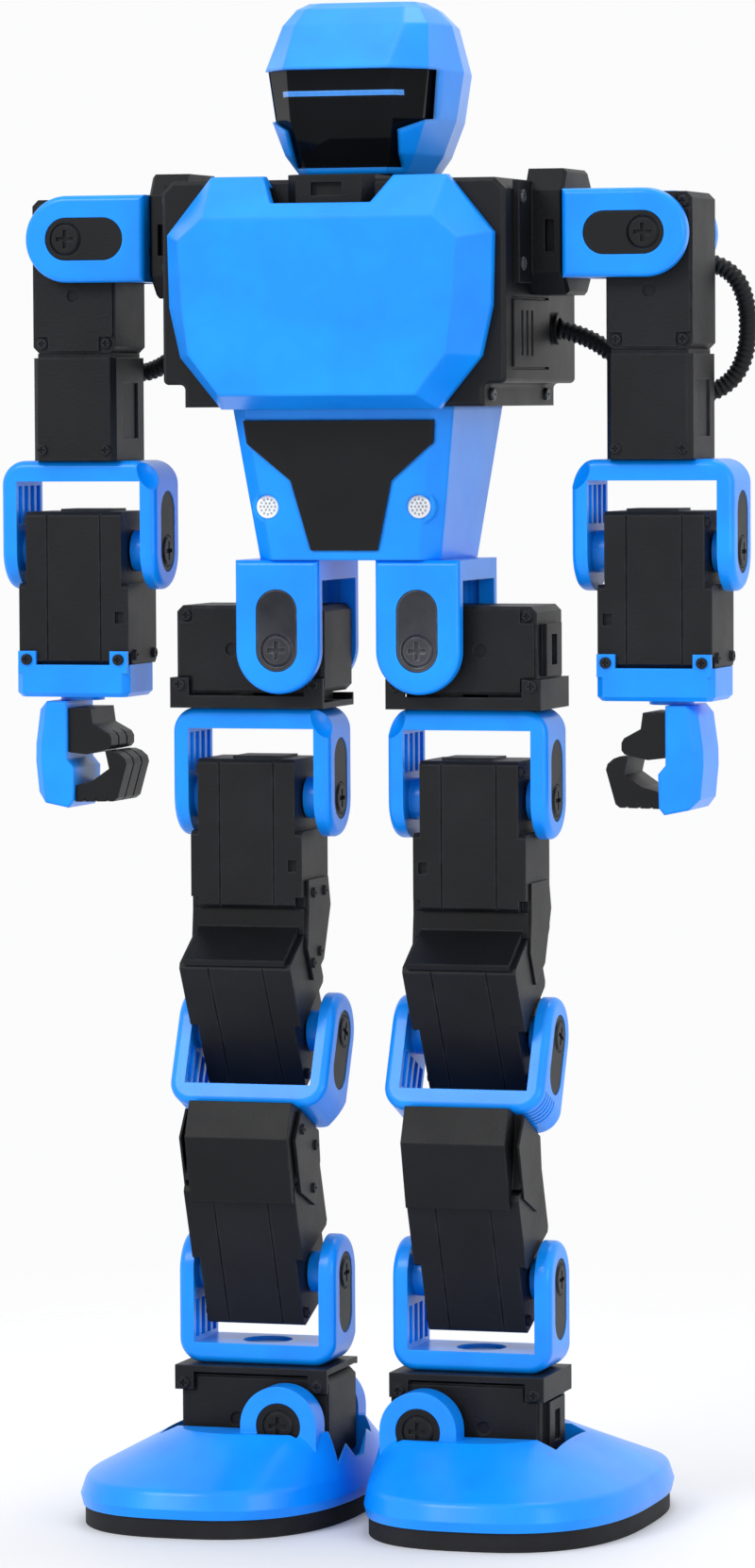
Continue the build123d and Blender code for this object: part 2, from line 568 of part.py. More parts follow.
def head_pieces():
    window = slab_y(both(WINDOW), -40, -10)
    shell = helmet(HELMET, 1.0) - helmet(HELMET, 0.87, 2.0, -2.0) - window
    shell -= rod_z(0, NECK_Y, NECK_POST_R, 295, 306)
    skin = helmet(VISOR, VISOR_RECESS)
    visor = (skin - helmet(VISOR, VISOR_RECESS - 0.08)) & window
    visor = visor.solids().sort_by(Axis.Y)[0]
    strip = (skin - helmet(VISOR, VISOR_RECESS - 0.03)) & block((-14.0, 14.0), (-40, -12), (318.5, 319.7))
    bar = strip.solids().sort_by(Axis.Y)[0]
    post = rod_z(0, NECK_Y, NECK_POST_R, 298.3, 305.5) + rod_z(0, NECK_Y, 9.0, 303.4, 305.5)
    post -= rod_z(0, NECK_Y, SPINDLE_R + SPINDLE_CLEARANCE, 297, 303.1)
    return shell, visor - bar, bar, post


# Arms --------------------------------------------------------------------------------------------
PALM = [(70.0, 183.7), (76.7, 183.7), (78.3, 172.0), (77.2, 161.0), (69.7, 159.5), (68.5, 161.0),
        (68.3, 168.5), (70.0, 170.5)]
FINGERS = [(58.5, 172.4), (55.9, 170.2), (58.5, 161.0), (68.3, 160.8), (68.3, 164.5), (64.2, 165.7),
           (60.3, 168.4), (61.2, 172.4)]
THUMB = [(64.6, 182.1), (70.0, 182.1), (70.0, 172.1), (65.7, 171.6), (59.7, 173.0), (59.7, 176.1),
         (64.1, 178.5)]


def shoulder_yoke():
    x, y, z = SHOULDER_ROLL
    half = ROLL_SERVO_T / 2
    start = SHOULDER_BLOCK_END + FACE_GAP
    piece = yoke(-17.0, y + half + FACE_GAP + YOKE_ARM, y - half, y + half, x - start)
    piece = Pos(x, 0, z) * Rot(0, -90, 0) * piece
    bore = SPINDLE_R + SPINDLE_CLEARANCE
    return piece - rod_x(SHOULDER_PITCH[0], SHOULDER_PITCH[1], bore, start - 1, start + SPINDLE_REACH + 0.2)


def shoulder_caps():
    x, y, z = SHOULDER_ROLL
    rear = y + ROLL_SERVO_T / 2 + FACE_GAP + YOKE_ARM
    caps = placed(yoke_caps(-17.0, rear), Pos(x, 0, z) * Rot(0, -90, 0))
    clip = block((63.5, 73.0), (rear, rear + 4.6), (279.6, 284.0))
    clip = fillet(clip.edges().filter_by(Axis.X).sort_by(Axis.Y)[-2:], 1.2)
    return caps + [clip]


def upper_arm():
    """The shoulder roll servo with its lower housing, and the elbow bracket's insets and screws."""
    case = to_front_back(roll_servo([(-1, -1), (1, -1), (1, 1), (-1, 1)], False), 0)
    pieces = placed(case, Pos(*SHOULDER_ROLL))
    half = SERVO_W / 2
    top = SHOULDER_ROLL[2] - SERVO_FAR
    bottom = ELBOW[2] + BRACKET_BAR_OUT
    box = block((ARM_X - half, ARM_X + half), (-12.0, 9.4), (bottom, top - 1.0))
    box = chamfer(box.edges().filter_by(Axis.Z), 1.2)
    box += block((ARM_X - half + 1, ARM_X + half - 1), (-11.0, 8.4), (top - 1.0, top))
    for x in (ARM_X - half, ARM_X + half):
        box -= block((x - 0.5, x + 0.5), (-7.0, 4.0), (bottom + 5.0, bottom + 17.5))
    gland = block((66.0, 73.0), (9.4, 15.2), (248.5, 255.5))
    gland = fillet(gland.edges().filter_by(Axis.X).sort_by(Axis.Y)[-2:], 2.0)
    for x in (ARM_X - half + 2.2, ARM_X + half - 2.2):
        pieces.append(Pos(x, -12.0, bottom + 2.4) * Rot(90, 0, 0) * screw(SMALL_SCREW_R, SMALL_SCREW_H))
    return pieces + [box + gland] + placed(bracket_caps(), Pos(*ELBOW))


def wrist_cap():
    x0, x1 = ARM_X + PITCH_SERVO_X[0], ARM_X + PITCH_SERVO_X[1]
    bottom = ELBOW[2] - SERVO_FAR
    front = ELBOW[1] - SERVO_W / 2
    cap = block((x0 - 0.2, x1 + 0.6), (front - 1.0, 7.0), (bottom - 7.3, bottom))
    cap = chamfer(cap.edges().filter_by(Axis.Z), 1.6)
    cap = chamfer(cap.faces().sort_by(Axis.Z)[0].outer_wire().edges(), 1.0)
    for x in (x0, x1 - 4.2):
        cap += block((x, x + 4.2), (front - 1.0, front), (bottom - 2.0, bottom + 3.1))
    return cap + rod_z(ARM_X + 2.2, -1.0, 5.0, bottom - 8.3, bottom - 7.0)


def forearm_servo():
    front, bottom = ELBOW[1] - SERVO_W / 2, ELBOW[2] - SERVO_FAR
    pieces = placed(servo_case(PITCH_SERVO_X, PITCH_HORN_X), Pos(*ELBOW))
    for x in (ARM_X + PITCH_SERVO_X[0] + 2.1, ARM_X + PITCH_SERVO_X[1] - 2.1):
        pieces.append(Pos(x, front - 1.0, bottom + 1.2) * Rot(90, 0, 0) * screw(SMALL_SCREW_R, SMALL_SCREW_H))
    return pieces


def hand_palm():
    palm = slab_y(PALM, -10.0, 8.0)
    outer = palm.edges().filter_by(Axis.Z, 20).filter_by_position(Axis.X, 76.0, 79.0)
    return chamfer(outer, 2.0)


def hand_claw():
    """The thumb block and the curved fingers, with grooves between the fingers."""
    fingers = slab_y(FINGERS, -9.0, 7.0)
    fingers = chamfer(fingers.edges().filter_by(Axis.Y).filter_by_position(Axis.X, 55.5, 59.0), 0.8)
    thumb = slab_y(THUMB, -9.0, 7.0)
    thumb = chamfer(thumb.edges().filter_by(Axis.Y).filter_by_position(Axis.X, 59.0, 60.0), 0.7)
    for y in (-3.8, 1.8):
        fingers -= block((50, 59.6), (y - 0.4, y + 0.4), (158, 174))
        thumb -= block((50, 61.2), (y - 0.4, y + 0.4), (170, 178))
    for x in (60.8, 63.6, 66.4):
        fingers -= block((x - 0.4, x + 0.4), (-10, 8), (160, 161.8))
    return [fingers, thumb]


# Legs --------------------------------------------------------------------------------------------
def channel(z_plate, z_servo, down):
    """The folded channel between a roll servo and the bracket beside it, in world coordinates."""
    x0 = HIP_ROLL[0] - SERVO_NEAR
    x1 = HIP_ROLL[0] + SERVO_FAR + 1.3
    front = HIP_ROLL[1] - ROLL_SERVO_T / 2
    rear = HIP_ROLL[1] + ROLL_SERVO_T / 2
    lip = z_servo + (0.6 if down else -0.6)
    plate = block((x0, x1), (front - 1.0, rear + 0.8), sorted((z_plate, z_plate + (-1.3 if down else 1.3))))
    plate += block((x0, x1), (front - 1.0, front), sorted((z_plate, lip)))
    plate += block((x0, x1), (rear, rear + 0.8), sorted((z_plate, lip)))
    post = z_servo + (-3.4 if down else 3.4)
    for x in (x0, x1 - 4.4):
        plate += block((x, x + 4.4), (front - 1.0, front), sorted((z_plate, post)))
    plate += block((x1 - 1.3, x1), (front - 1.0, rear + 0.8), sorted((z_plate, post)))
    if abs(z_plate - z_servo) > 1.31:
        inner = z_plate + (-1.3 if down else 1.3)
        plate += block((x0 + 4, x0 + 12), (front + 2, rear - 2), sorted((inner, z_servo)))
        plate += block((x1 - 13, x1 - 5), (front + 2, rear - 2), sorted((inner, z_servo)))
    z_screw = z_servo + (-1.9 if down else 1.9)
    heads = [Pos(x, front - 1.0, z_screw) * Rot(90, 0, 0) * screw(1.4, 0.8) for x in (x0 + 2.2, x1 - 2.2)]
    return [plate] + heads


def hip_servo():
    pieces = placed(to_front_back(roll_servo([(-1, -1), (-1, 1)]), -90), Pos(*HIP_ROLL))
    z_plate = HIP_PITCH[2] + BRACKET_BAR_OUT
    pieces += channel(z_plate, HIP_ROLL[2] - SERVO_W / 2, False)
    return pieces + placed(bracket_caps(), Pos(*HIP_PITCH))


def ankle_servo():
    pieces = placed(to_front_back(roll_servo([(1, -1), (1, 1)]), -90), Pos(*ANKLE_ROLL))
    z_plate = ANKLE[2] - BRACKET_BAR_OUT
    pieces += channel(z_plate, ANKLE_ROLL[2] + SERVO_W / 2, True)
    return pieces + placed(bracket_caps(), Pos(*ANKLE) * Rot(180, 0, 0))


KNEE_LINK_PLATE = [(-23.6, 125.4), (-6.6, 135.2), (-7.35, 136.5), (-24.35, 126.7)]
KNEE_LINK_CORE = [(-12.6, 137.6), (5.3, 137.6), (5.3, 133.0), (-0.6, 124.85), (-6.55, 135.25),
                  (-12.6, 131.75)]
KNEE_LINK_SIDE = [(-11.5, 144.0), (3.0, 144.0), (4.8, 137.5), (-0.5, 125.5), (-8.2, 121.2),
                  (-12.5, 128.6), (-11.5, 137.0)]
SHIN_CORE = [(-17.78, 93.38), (-4.98, 87.68), (-4.4, 81.7), (-21.6, 75.1), (-20.75, 72.6),
             (-22.0, 72.1), (-25.9, 87.0), (-22.4, 94.9), (-21.0, 94.6)]
SHIN_SIDE = [(-18.0, 92.6), (-5.2, 87.0), (-4.2, 80.0), (-8.0, 70.4), (-18.6, 74.4), (-22.6, 86.5)]


def side_plates(outline, screws):
    """Thin plates over both flanks of two joined pieces, with their screws."""
    x0, x1 = LEG_X + PITCH_SERVO_X[0], LEG_X + PITCH_SERVO_X[1]
    outer, inner = x1 + 0.55, x0 - 0.8
    pieces = [slab_x(outline, x1, outer), slab_x(outline, inner, x0)]
    heads = [Pos(inner, y, z) * Rot(0, -90, 0) * screw(1.2, 0.6) for y, z in screws]
    return pieces, heads


def knee_link():
    body = slab_x(KNEE_LINK_PLATE, LEG_X - 11.0, LEG_X + 12.7)
    body += slab_x(KNEE_LINK_CORE, LEG_X + PITCH_SERVO_X[0], LEG_X + PITCH_SERVO_X[1])
    plates, heads = side_plates(KNEE_LINK_SIDE, [(-8.0, 141.0), (0.0, 141.0), (-3.5, 127.5), (-8.6, 125.2)])
    return [body + plates[0] + plates[1]] + heads


def shin_cover():
    body = slab_x(SHIN_CORE, LEG_X - 12.0, LEG_X + 12.0)
    body += slab_x([(-17.0, 93.0), (-5.2, 87.8), (-4.6, 82.5), (-20.0, 76.6)],
                   LEG_X + PITCH_SERVO_X[0], LEG_X + PITCH_SERVO_X[1])
    plates, heads = side_plates(SHIN_SIDE, [(-17.5, 88.5), (-8.0, 84.0), (-9.6, 74.5)])
    return [body + plates[0] + plates[1]] + heads


def leaned(angle):
    return Rot(180 + angle, 0, 0)


def thigh_servos():
    upper = placed(servo_case(PITCH_SERVO_X, PITCH_HORN_X, 24.6, low_screws=False), Pos(*HIP_PITCH))
    lower = placed(servo_case(PITCH_SERVO_X, PITCH_HORN_X, 24.2, low_screws=False),
                   Pos(*KNEE) * leaned(KNEE_SERVO_LEAN))
    return upper + lower


def shin_servo():
    pieces = placed(servo_case(PITCH_SERVO_X, PITCH_HORN_X, low_screws=False),
                    Pos(*ANKLE) * leaned(SHIN_LEAN))
    return pieces + placed(bracket_caps(), Pos(*KNEE) * leaned(KNEE_BRACKET_LEAN))


# Feet --------------------------------------------------------------------------------------------
def foot_outline(z, x0, x1, y0, y1, power=2.7, count=40):
    """A rounded-rectangle outline: a superellipse between the given sides."""
    cx, cy, a, b = (x0 + x1) / 2, (y0 + y1) / 2, (x1 - x0) / 2, (y1 - y0) / 2
    points = []
    for k in range(count):
        t = 2 * pi * k / count
        x = cx + a * copysign(abs(cos(t)) ** (2 / power), cos(t))
        y = cy + b * copysign(abs(sin(t)) ** (2 / power), sin(t))
        points.append((x, y))
    return Plane.XY.offset(z) * make_face(Spline(*points, periodic=True))


def foot_cover():
    cx, (a, b) = FOOT_CENTRE_X, FOOT_HALF
    body = loft([foot_outline(SOLE_T, cx - a + 0.5, cx + a - 0.5, -b + 0.5, b - 0.5),
                 foot_outline(6.5, cx - a, cx + a, -b, b)], ruled=True)
    body += loft([foot_outline(6.5, cx - a, cx + a, -b, b),
                  foot_outline(10.4, cx - a + 0.6, cx + a - 1.2, -b + 1.4, b - 1.4)], ruled=True)
    body += loft([foot_outline(10.4, cx - a + 0.6, cx + a - 1.2, -b + 1.4, b - 1.4),
                  foot_outline(20.6, cx - a + 2.6, 44.0, -27.0, 20.0)], ruled=True)
    body = fillet(body.edges().filter_by_position(Axis.Z, 10.3, 10.5), 2.2)
    x, y, z = ANKLE_ROLL
    for low, high in ((-24.0, POCKET_Y[0]), (POCKET_Y[1], 14.2)):
        body += rod_y(x, z, LUG_R, low, high) + block((x - LUG_R, x + LUG_R), (low, high), (10, z))
    body -= block(POCKET_X, POCKET_Y, (POCKET_FLOOR, 40))
    body -= slab_x([(-15.0, 40), (-15.0, 20.0), (-7.0, 13.3), (-1.4, 13.3), (6.0, 20.0), (6.0, 40)], 0, 8)
    half = ROLL_SERVO_T / 2
    body += rod_y(x, z, BOSS_R, POCKET_Y[0], y - half - FACE_GAP)
    body += rod_y(x, z, BOSS_R, y + half + FACE_GAP, POCKET_Y[1])
    bore, reach = SPINDLE_R + SPINDLE_CLEARANCE, FACE_GAP + SPINDLE_REACH + 0.2
    body -= rod_y(x, z, bore, y - half - reach, y - half + 1) + rod_y(x, z, bore, y + half - 1, y + half + reach)
    for low, high in ((-25.0, -24.0 + INSET_DEPTH), (14.2 - INSET_DEPTH, 15.0)):
        body -= rod_y(x, z, SCREW_R + 1.6, low, high)
    return body


def foot_caps():
    """The inset rings and pivot screws of a foot's two lugs."""
    x, _, z = ANKLE_ROLL
    pieces = []
    for floor, side in ((-24.0 + INSET_DEPTH, -1), (14.2 - INSET_DEPTH, 1)):
        low, high = sorted((floor, floor + side * (INSET_DEPTH - 0.15)))
        ring = rod_y(x, z, SCREW_R + 1.5, low, high) - rod_y(x, z, SCREW_R + INSET_CLEARANCE, low - 1, high + 1)
        pieces += [ring, Pos(x, floor, z) * Rot(-90 * side, 0, 0) * screw(SCREW_R, INSET_DEPTH + 0.25)]
    return pieces


def foot_sole():
    cx, (a, b) = FOOT_CENTRE_X, FOOT_HALF
    sole = extrude(foot_outline(0, cx - a + 1.0, cx + a - 1.0, -b + 1.0, b - 1.0), amount=SOLE_T)
    for y in (-36.0, -24.0, -12.0, 0.0, 12.0, 24.0, 36.0):
        sole -= block((cx - 22.0, cx + 22.0), (y - 1.0, y + 1.0), (-1, 1.0))
    return sole


# Cables ------------------------------------------------------------------------------------------
CABLE_A = [(40.5, 10.6, 267.1), (47.0, 12.2, 265.4), (54.0, 15.2, 259.6), (62.0, 16.4, 257.2),
           (68.0, 16.2, 263.5), (68.4, 15.7, 272.0), (68.2, 15.6, 279.5)]
CABLE_B = [(73.5, 15.6, 281.7), (78.6, 16.0, 280.6), (82.6, 16.4, 273.0), (82.4, 16.2, 261.0),
           (78.4, 14.6, 254.0), (74.0, 12.9, 252.5)]


def sleeve(points, radius=SLEEVE_R):
    """A round sleeve along straight runs joined by tangent arcs."""
    vectors = [Vector(*p) for p in points]
    radii = []
    for before, here, after in zip(vectors, vectors[1:], vectors[2:]):
        u, v = here - before, after - here
        turn = radians(u.get_angle(v))
        radii.append(0.45 * min(u.length, v.length) / tan(turn / 2))
    print("bend radii:", ", ".join(f"{r:.1f}" for r in radii))
    path = FilletPolyline(*vectors, radius=radii)
    start = Plane(origin=path @ 0, z_dir=path % 0)
    tube = sweep(start * Circle(radius), path=path)
    print(f"sleeve volume {tube.volume:.1f}, section x length {pi * radius ** 2 * path.length:.1f}")
    return tube


# Assembly ----------------------------------------------------------------------------------------
belly = belly_panel()
write("chest_housing", chest_housing())
write("chest_cover", chest_cover())
write("back_cover", back_cover())
write("waist_cover", waist_cover(belly))
write("belly_panel", belly)
write("speaker_grilles", *speaker_grilles())
frame_left = shoulder_frame()
write("shoulder_frames", frame_left, mirror(frame_left, about=Plane.YZ))
write("torso_servos", *torso_servos())
write("battery_pack", battery_pack())
write("control_board", control_board())
yoke_left = hip_yoke()
write("hip_yokes", yoke_left, mirror(yoke_left, about=Plane.YZ))
write("torso_fasteners", *torso_fasteners())

shell, visor, bar, post = head_pieces()
write("head_shell", shell)
write("visor", visor)
write("light_bar", bar)
write("neck_post", post)

bracket = u_bracket(*PITCH_HORN_X)
write_pair("shoulder_yoke", shoulder_yoke())
write_pair("shoulder_caps", *shoulder_caps())
write_pair("upper_arm_servo", *upper_arm())
write_pair("elbow_bracket", Pos(*ELBOW) * bracket)
write_pair("forearm_servo", *forearm_servo())
write_pair("wrist_cap", wrist_cap())
write_pair("hand_palm", hand_palm())
write_pair("hand_claw", *hand_claw())

write_pair("hip_servo", *hip_servo())
write_pair("thigh_bracket", Pos(*HIP_PITCH) * bracket)
write_pair("thigh_servos", *thigh_servos())
write_pair("knee_link", *knee_link())
write_pair("knee_bracket", Pos(*KNEE) * leaned(KNEE_BRACKET_LEAN) * corner_ribs(bracket, 1))
write_pair("shin_servo", *shin_servo())
write_pair("shin_cover", *shin_cover())
write_pair("ankle_bracket", Pos(*ANKLE) * Rot(180, 0, 0) * bracket)
write_pair("ankle_servo", *ankle_servo())
write_pair("foot_cover", foot_cover())
write_pair("foot_caps", *foot_caps())
write_pair("foot_sole", foot_sole())

write_pair("arm_cable_a", sleeve(CABLE_A))
write_pair("arm_cable_b", sleeve(CABLE_B))
print(len(WRITTEN), "files,", sum(WRITTEN.values()), "solids")
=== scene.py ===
import json
import math
import bpy
from mathutils import Matrix, Vector


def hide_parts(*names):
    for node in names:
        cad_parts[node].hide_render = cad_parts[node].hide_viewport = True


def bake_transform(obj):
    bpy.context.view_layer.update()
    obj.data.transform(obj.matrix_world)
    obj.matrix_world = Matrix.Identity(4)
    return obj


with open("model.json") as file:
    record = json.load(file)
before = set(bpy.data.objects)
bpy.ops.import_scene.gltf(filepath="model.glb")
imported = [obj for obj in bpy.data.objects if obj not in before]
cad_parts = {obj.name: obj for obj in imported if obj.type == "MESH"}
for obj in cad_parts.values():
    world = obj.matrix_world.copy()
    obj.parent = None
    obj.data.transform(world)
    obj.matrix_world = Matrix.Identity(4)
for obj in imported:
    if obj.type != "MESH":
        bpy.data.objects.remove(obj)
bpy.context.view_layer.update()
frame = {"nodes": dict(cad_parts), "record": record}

scene = bpy.context.scene
scene.view_settings.view_transform = "Standard"


# Camera ------------------------------------------------------------------------------------------
def place_camera():
    """A long lens, in front and to the robot's left, looking slightly down."""
    turn, down, roll = math.radians(16.956), math.radians(3.223), math.radians(-0.317)
    right = Vector((math.cos(turn), math.sin(turn), 0))
    level = Vector((-math.sin(turn), math.cos(turn), 0))
    forward = level * math.cos(down) - Vector((0, 0, 1)) * math.sin(down)
    up = Vector((0, 0, 1)) * math.cos(down) + level * math.sin(down)
    x = right * math.cos(roll) + up * math.sin(roll)
    y = up * math.cos(roll) - right * math.sin(roll)
    data = bpy.data.cameras.new("camera")
    data.lens = 157.35
    data.clip_start = 0.01
    camera = bpy.data.objects.new("camera", data)
    scene.collection.objects.link(camera)
    matrix = Matrix((x, y, -forward)).transposed().to_4x4()
    matrix.translation = (0.44983, -1.47375, 0.25188)
    camera.matrix_world = matrix
    scene.camera = camera


# Materials ---------------------------------------------------------------------------------------
def linear(code):
    """A colour written as six hex digits, as linear RGBA."""
    values = [int(code[i:i + 2], 16) / 255 for i in (0, 2, 4)]
    return [v / 12.92 if v <= 0.04045 else ((v + 0.055) / 1.055) ** 2.4 for v in values] + [1]


class Nodes:
    """Builds a material's node tree a call at a time."""

    def __init__(self, name):
        self.material = bpy.data.materials.new(name)
        self.material.use_nodes = True
        self.tree = self.material.node_tree
        self.shader = self.tree.nodes["Principled BSDF"]

    def add(self, kind, **inputs):
        node = self.tree.nodes.new(kind)
        for key, value in inputs.items():
            self.put(node, key.replace("_", " "), value)
        return node

    def put(self, node, key, value):
        if isinstance(value, bpy.types.NodeSocket):
            self.tree.links.new(value, node.inputs[key])
        else:
            node.inputs[key].default_value = value

    def where(self):
        return self.add("ShaderNodeTexCoord").outputs["Object"]

    def noise(self, scale, detail=3.0, rough=0.55):
        node = self.add("ShaderNodeTexNoise", Vector=self.where(), Scale=scale, Detail=detail, Roughness=rough)
        return node.outputs["Fac"]

    def spread(self, source, low, high, out_low, out_high):
        node = self.add("ShaderNodeMapRange", Value=source, From_Min=low, From_Max=high, To_Min=out_low,
                        To_Max=out_high)
        return node.outputs["Result"]

    def mix(self, factor, a, b):
        node = self.tree.nodes.new("ShaderNodeMix")
        node.data_type = "RGBA"
        for socket, value in zip((node.inputs[0], node.inputs[6], node.inputs[7]), (factor, a, b)):
            if isinstance(value, bpy.types.NodeSocket):
                self.tree.links.new(value, socket)
            else:
                socket.default_value = value
        return node.outputs[2]

    def bump(self, height, strength, distance, normal=None):
        node = self.add("ShaderNodeBump", Height=height, Strength=strength, Distance=distance)
        if normal is not None:
            self.put(node, "Normal", normal)
        return node.outputs["Normal"]

    def soft_edges(self, radius):
        node = self.tree.nodes.new("ShaderNodeBevel")
        node.samples = 4
        node.inputs["Radius"].default_value = radius
        return node.outputs["Normal"]

    def edge_mask(self, radius):
        """1 on sharp edges, 0 on flat faces: how far the rounded normal leaves the true one."""
        geometry = self.tree.nodes.new("ShaderNodeNewGeometry")
        dot = self.tree.nodes.new("ShaderNodeVectorMath")
        dot.operation = "DOT_PRODUCT"
        self.tree.links.new(self.soft_edges(radius), dot.inputs[0])
        self.tree.links.new(geometry.outputs["Normal"], dot.inputs[1])
        return self.spread(dot.outputs["Value"], 0.995, 0.85, 0.0, 1.0)


def moulded(name, dark, light, rough, grain, relief, edge, worn, coat=0.0, edge_radius=0.0004):
    """Injection-moulded plastic: two-tone mottling, fine spark-eroded grain, rubbed edges."""
    n = Nodes(name)
    cloud = n.spread(n.noise(60, 4), 0.3, 0.7, 0.0, 1.0)
    speck = n.spread(n.noise(1400, 2), 0.62, 0.8, 0.0, 0.25)
    base = n.mix(cloud, linear(dark), linear(light))
    base = n.mix(speck, base, linear(light))
    rub = n.add("ShaderNodeMath")
    rub.operation = "MULTIPLY"
    n.tree.links.new(n.edge_mask(edge_radius * 1.6), rub.inputs[0])
    n.tree.links.new(n.spread(n.noise(220, 4), 0.42, 0.7, 0.15, worn), rub.inputs[1])
    base = n.mix(rub.outputs[0], base, linear(edge))
    n.put(n.shader, "Base Color", base)
    smear = n.spread(n.noise(35, 5, 0.65), 0.3, 0.75, rough - 0.05, rough + 0.07)
    n.put(n.shader, "Roughness", smear)
    normal = n.bump(n.noise(grain, 2), relief, 0.0002, n.soft_edges(edge_radius))
    n.put(n.shader, "Normal", normal)
    n.put(n.shader, "Coat Weight", coat)
    n.put(n.shader, "Coat Roughness", 0.18)
    n.put(n.shader, "IOR", 1.42)
    n.put(n.shader, "Specular IOR Level", 0.3)
    return n


def visor_material():
    n = moulded("visor_gloss", "050608", "0A0C10", 0.1, 900, 0.02, "23272E", 0.3, 1.0, 0.0006)
    n.put(n.shader, "Coat Roughness", 0.04)
    n.put(n.shader, "Coat Weight", 0.12)
    n.put(n.shader, "Specular IOR Level", 0.05)
    n.put(n.shader, "Roughness", n.spread(n.noise(25, 4), 0.3, 0.8, 0.07, 0.15))
    return n.material


def light_material():
    n = moulded("light_lens", "0F5CB0", "2E84D8", 0.2, 700, 0.03, "8FD4FF", 0.4, 0.8)
    wave = n.add("ShaderNodeTexWave", Vector=n.where(), Scale=160.0, Distortion=0.3)
    glow = n.spread(wave.outputs["Fac"], 0.0, 1.0, 0.55, 1.0)
    n.put(n.shader, "Emission Color", n.mix(glow, linear("1565C4"), linear("3E9EEA")))
    n.put(n.shader, "Emission Strength", 0.12)
    return n.material


def board_material():
    n = moulded("circuit_board", "134427", "1D6A3B", 0.4, 800, 0.1, "7DAA6A", 0.5, 0.4)
    brick = n.add("ShaderNodeTexBrick", Vector=n.where(), Scale=140.0)
    n.put(n.shader, "Base Color", n.mix(brick.outputs["Fac"], linear("17552F"), linear("B98F3C")))
    return n.material


def screw_material():
    n = moulded("screw_steel", "2A2B30", "45464C", 0.34, 1500, 0.12, "8A8C92", 0.8)
    n.put(n.shader, "Metallic", 0.6)
    return n.material


def all_materials():
    return {
        "blue_plastic": moulded("blue_plastic", "0083F2", "0092FF", 0.36, 2300, 0.10, "38AEFF", 0.5,
                                0.25).material,
        "black_plastic": moulded("black_plastic", "08090B", "0F1013", 0.46, 1900, 0.28, "34363D", 0.6).material,
        "servo_plastic": moulded("servo_plastic", "0B0C0F", "141519", 0.48, 1500, 0.34, "3B3D45", 0.7).material,
        "visor_gloss": visor_material(),
        "light_lens": light_material(),
        "pale_mesh": moulded("pale_mesh", "C6CACF", "E4E7EA", 0.55, 1600, 0.3, "FFFFFF", 0.4).material,
        "sole_rubber": moulded("sole_rubber", "131315", "202024", 0.72, 1100, 0.5, "3B3B40", 0.6).material,
        "cable_sleeve": moulded("cable_sleeve", "0A0B0D", "141518", 0.5, 1800, 0.25, "303338", 0.6).material,
        "screw_steel": screw_material(),
        "battery_wrap": moulded("battery_wrap", "181C24", "272D38", 0.3, 500, 0.1, "4A5260", 0.4, 0.5).material,
        "circuit_board": board_material(),
    }


SMOOTH_SHELLS = ("head_shell", "chest_cover", "back_cover", "waist_cover", "hand_palm_L", "hand_palm_R")


def paint_nodes(materials):
    """Gives every CAD node the material of its slot in the record; the moulded shells have softer creases."""
    soft = moulded("blue_shell", "0083F2", "0092FF", 0.34, 2300, 0.08, "1E9DFF", 0.3, 0.25, 0.0014).material
    for entry in frame["record"]["subparts"]:
        node = frame["nodes"][entry["node"]]
        material = soft if entry["node"] in SMOOTH_SHELLS else materials[entry["material_slot"]]
        if not node.material_slots:
            node.data.materials.append(material)
        for slot in node.material_slots:
            slot.material = material


# Cables ------------------------------------------------------------------------------------------
ROUTE_A = [(40.5, 10.6, 267.1), (47.0, 12.2, 265.4), (54.0, 15.2, 259.6), (62.0, 16.4, 257.2),
           (68.0, 16.2, 263.5), (68.4, 15.7, 272.0), (68.2, 15.6, 279.5)]
ROUTE_B = [(73.5, 15.6, 281.7), (78.6, 16.0, 280.6), (82.6, 16.4, 273.0), (82.4, 16.2, 261.0),
           (78.4, 14.6, 254.0), (74.0, 12.9, 252.5)]
SLEEVE_R = 0.0021
RIB_PITCH = 0.0013


def spline_points(name, route):
    """The points that Blender gives for the route's smooth spline."""
    curve = bpy.data.curves.new(name, "CURVE")
    curve.dimensions = "3D"
    spline = curve.splines.new("NURBS")
    spline.points.add(len(route) - 1)
    for point, place in zip(spline.points, route):
        point.co = (*place, 1)
    spline.order_u = 3
    spline.use_endpoint_u = True
    spline.resolution_u = 24
    holder = bpy.data.objects.new(name, curve)
    mesh = bpy.data.meshes.new_from_object(holder)
    points = [vertex.co.copy() for vertex in mesh.vertices]
    bpy.data.objects.remove(holder)
    return points


def even_points(points, step):
    """Points a step apart along a line of points."""
    lengths = [0.0]
    for a, b in zip(points, points[1:]):
        lengths.append(lengths[-1] + (b - a).length)
    count = max(2, round(lengths[-1] / step))
    spaced, k = [], 0
    for i in range(count + 1):
        want = lengths[-1] * i / count
        while k < len(points) - 2 and lengths[k + 1] < want:
            k += 1
        run = lengths[k + 1] - lengths[k]
        spaced.append(points[k].lerp(points[k + 1], (want - lengths[k]) / run if run else 0.0))
    return spaced, lengths[-1]


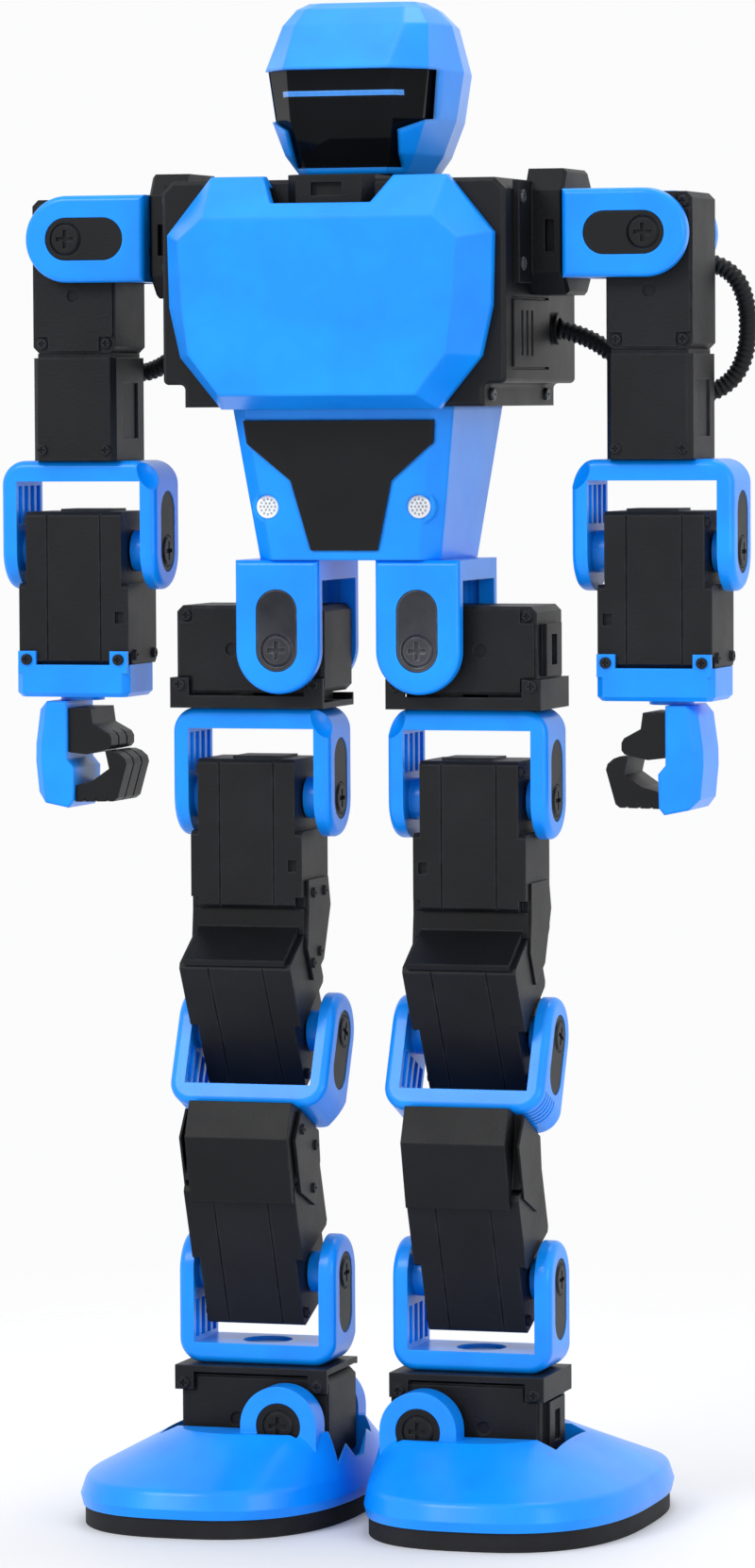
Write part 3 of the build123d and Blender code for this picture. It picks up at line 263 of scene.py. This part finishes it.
def ribbed_sleeve(name, route, material):
    """A corrugated sleeve: a tube whose radius rises and falls along the spline."""
    path, length = even_points(spline_points(name + "_line", route), RIB_PITCH / 8)
    sides, verts, faces = 20, [], []
    side = Vector((0, 0, 1)).cross(path[1] - path[0]).normalized()
    for i, point in enumerate(path):
        ahead = (path[min(i + 1, len(path) - 1)] - path[max(i - 1, 0)]).normalized()
        side = (side - ahead * side.dot(ahead)).normalized()
        over = ahead.cross(side)
        phase = math.sin(2 * math.pi * i / 8)
        radius = SLEEVE_R * (0.93 + 0.07 * max(-1.0, min(1.0, 1.6 * phase)))
        for k in range(sides):
            angle = 2 * math.pi * k / sides
            verts.append(point + radius * (side * math.cos(angle) + over * math.sin(angle)))
    for i in range(len(path) - 1):
        for k in range(sides):
            a, b = i * sides + k, i * sides + (k + 1) % sides
            faces.append((a, b, b + sides, a + sides))
    faces.append(tuple(range(sides))[::-1])
    faces.append(tuple(range(len(verts) - sides, len(verts))))
    mesh = bpy.data.meshes.new(name)
    mesh.from_pydata(verts, [], faces)
    for polygon in mesh.polygons:
        polygon.use_smooth = len(polygon.vertices) == 4
    mesh.materials.append(material)
    piece = bpy.data.objects.new(name, mesh)
    scene.collection.objects.link(piece)
    return piece, path, length


def add_cables(material):
    for tag, sign in (("L", 1), ("R", -1)):
        for part, route, first, second in (("a", ROUTE_A, "torso", f"shoulder_{tag}"),
                                           ("b", ROUTE_B, f"shoulder_{tag}", f"upper_arm_{tag}")):
            metres = [(sign * x / 1000, y / 1000, z / 1000) for x, y, z in route]
            piece, path, length = ribbed_sleeve(f"sleeve_{part}_{tag}", metres, material)
            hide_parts(f"arm_cable_{part}_{tag}")
            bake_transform(piece)


# Stage and light ---------------------------------------------------------------------------------
def add_floor():
    """A pale floor that fades into the background away from the robot."""
    n = Nodes("floor")
    mesh = bpy.data.meshes.new("floor")
    size = 1.6
    mesh.from_pydata([(-size, -size, 0), (size, -size, 0), (size, size, 0), (-size, size, 0)], [], [(0, 1, 2, 3)])
    mesh.materials.append(n.material)
    floor = bpy.data.objects.new("floor", mesh)
    scene.collection.objects.link(floor)
    n.put(n.shader, "Base Color", n.mix(n.noise(9, 4), linear("DFE0E2"), linear("E6E7E8")))
    n.put(n.shader, "Roughness", 0.6)
    n.put(n.shader, "Normal", n.bump(n.noise(500, 3), 0.05, 0.0003))
    distance = n.add("ShaderNodeVectorMath")
    distance.operation = "LENGTH"
    n.tree.links.new(n.where(), distance.inputs[0])
    n.put(n.shader, "Alpha", n.spread(distance.outputs["Value"], 0.1, 0.45, 1.0, 0.0))


def add_area(name, place, target, size, power, colour=(1, 1, 1)):
    data = bpy.data.lights.new(name, "AREA")
    data.shape = "DISK"
    data.size = size
    data.energy = power
    data.color = colour
    lamp = bpy.data.objects.new(name, data)
    lamp.location = place
    lamp.rotation_euler = (Vector(target) - Vector(place)).to_track_quat("-Z", "Y").to_euler()
    scene.collection.objects.link(lamp)


def add_light():
    world = bpy.data.worlds.new("world")
    world.use_nodes = True
    world.node_tree.nodes["Background"].inputs["Color"].default_value = (0.97, 0.97, 0.975, 1)
    world.node_tree.nodes["Background"].inputs["Strength"].default_value = 1.0
    scene.world = world
    add_area("key", (-0.7, -1.3, 1.15), (0, 0, 0.2), 0.7, 11)
    add_area("fill", (1.3, -0.9, 0.5), (0, 0, 0.2), 0.9, 5)
    add_area("top", (0.1, 0.3, 1.5), (0, 0, 0.2), 0.8, 6)


place_camera()
materials = all_materials()
paint_nodes(materials)
add_cables(materials["cable_sleeve"])
add_floor()
add_light()
